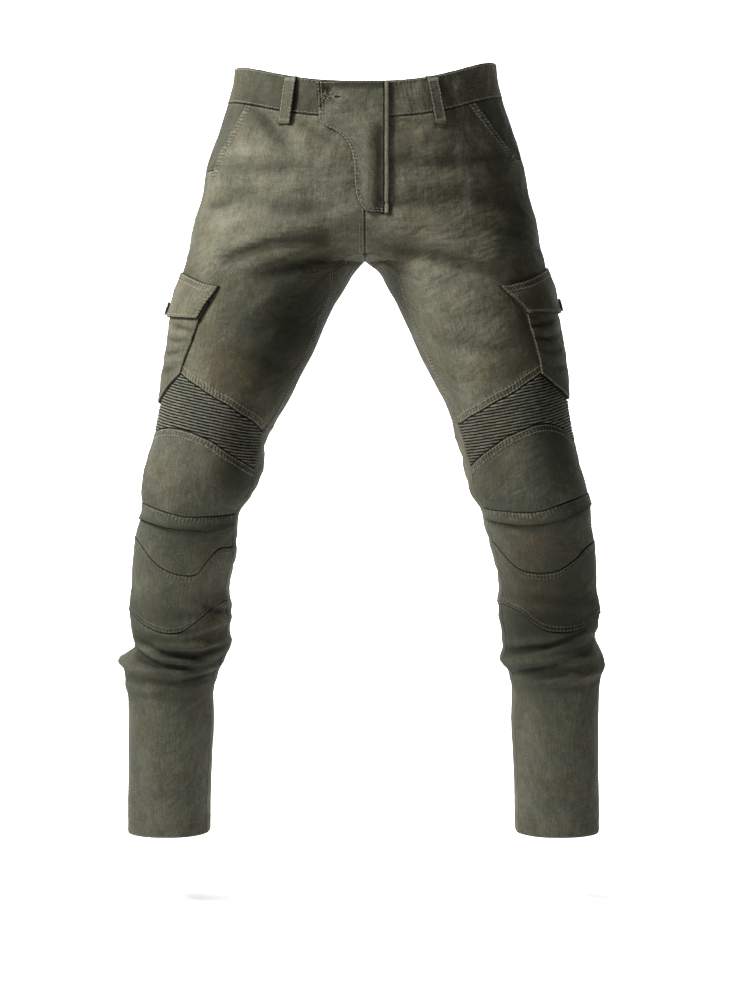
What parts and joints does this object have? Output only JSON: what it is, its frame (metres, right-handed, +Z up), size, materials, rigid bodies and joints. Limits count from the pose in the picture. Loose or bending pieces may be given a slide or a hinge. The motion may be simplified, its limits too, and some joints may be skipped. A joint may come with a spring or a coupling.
{
  "type": "motorcycle trousers, worn and hollow, held up by a wearer at the waist",
  "caption": "Slim olive motorcycle trousers in stretch twill with a lapped fly flap, cargo pockets, ribbed panels above rounded knees and shaped shin pieces, hollow, in a wide stance",
  "frame": {"origin": "the middle of the waist opening, level with the waistband's upper edge, where the wearer's waist holds the trousers up", "axes": "+Z is up, -Y is the front of the trousers, +X is the wearer's left"},
  "size_m": [0.5866, 0.2662, 0.9249],
  "materials": {
    "twill": "matte, faded stretch twill",
    "twill_dark": "matte stretch twill, less faded",
    "metal": "dark worn metal"
  },
  "bodies": {
    "root": {"right_waistband": "twill", "right_front": "twill", "right_pocket_facing": "twill_dark", "right_back": "twill", "right_gusset": "twill", "right_ribbed_panel": "twill_dark", "right_knee": "twill", "right_knee_band": "twill", "right_under_knee": "twill", "right_shin": "twill", "right_lower_front": "twill", "right_cargo_pocket": "twill", "right_cargo_flap": "twill", "right_cargo_button": "metal", "right_belt_loop_front": "twill", "right_belt_loop_side": "twill", "left_waistband": "twill", "left_front": "twill", "left_pocket_facing": "twill_dark", "left_back": "twill", "left_gusset": "twill", "left_ribbed_panel": "twill_dark", "left_knee": "twill", "left_knee_band": "twill", "left_under_knee": "twill", "left_shin": "twill", "left_lower_front": "twill", "left_cargo_pocket": "twill", "left_cargo_flap": "twill", "left_cargo_button": "metal", "left_belt_loop_front": "twill", "left_belt_loop_side": "twill", "fly_flap": "twill", "fly_strip": "twill", "belt_loop_back": "twill"}
  },
  "joints": []
}
